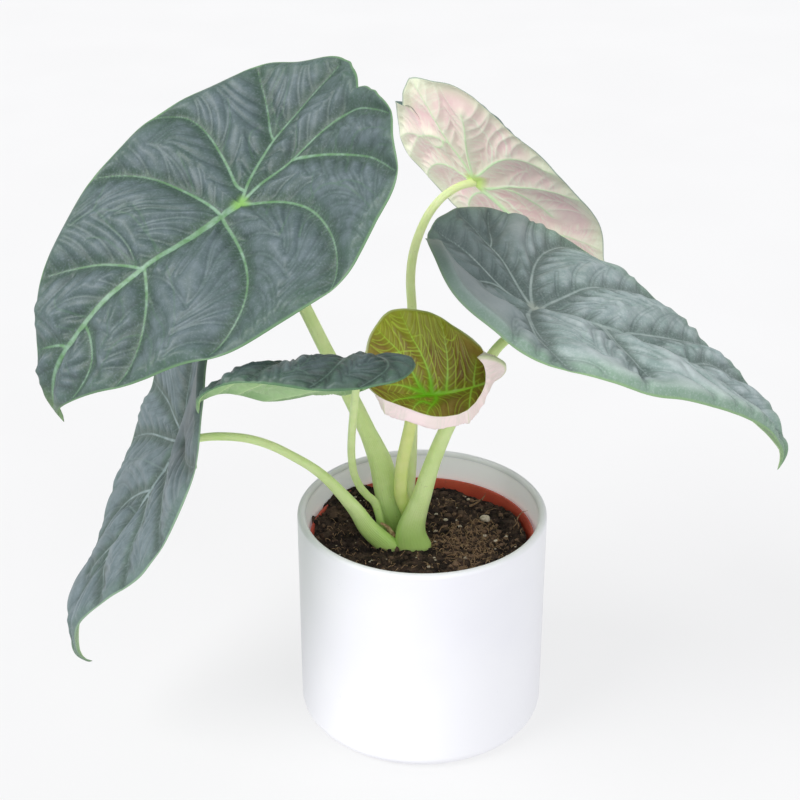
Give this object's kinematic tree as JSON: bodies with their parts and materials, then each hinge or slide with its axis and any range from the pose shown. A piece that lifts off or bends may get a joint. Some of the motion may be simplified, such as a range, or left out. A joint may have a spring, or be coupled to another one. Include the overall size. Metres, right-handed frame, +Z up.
{
  "type": "potted alocasia plant",
  "caption": "Potted alocasia: large quilted arrow-shaped leaves on long petioles, rising from peaty soil in a plastic nursery pot inside a white ceramic cover pot.",
  "frame": {"origin": "centre of the cover pot's flat underside", "axes": "+Z up along the pot's axis, -Y towards the viewer's side, +X to the right"},
  "size_m": [0.3867, 0.2624, 0.3811],
  "materials": {
    "white_ceramic": "white matt glaze",
    "terracotta_plastic": "moulded terracotta-coloured plastic",
    "potting_soil": "peat mix with perlite and root fibres",
    "corm_bark": "rough brown bark",
    "petiole_green": "smooth fleshy green stalk",
    "petiole_young": "smooth fleshy yellow-green stalk",
    "leaf_large_left": "quilted dark blue-green blade with light veins",
    "leaf_back": "pink-green underside, dark upper face",
    "leaf_right": "quilted silvery green blade",
    "leaf_low_left": "quilted dark blue-green blade",
    "leaf_small_left": "dark blade with a light green underside",
    "leaf_young": "thin olive blade with bright green veins"
  },
  "bodies": {
    "root": {"outer_pot": "white_ceramic", "nursery_pot": "terracotta_plastic", "soil": "potting_soil", "corm": "corm_bark", "petiole_large_left": "petiole_green", "leaf_large_left": "leaf_large_left", "petiole_back": "petiole_green", "leaf_back": "leaf_back", "petiole_right": "petiole_green", "leaf_right": "leaf_right", "petiole_low_left": "petiole_green", "leaf_low_left": "leaf_low_left", "petiole_small_left": "petiole_green", "leaf_small_left": "leaf_small_left", "petiole_young": "petiole_young", "leaf_young": "leaf_young"}
  },
  "joints": []
}
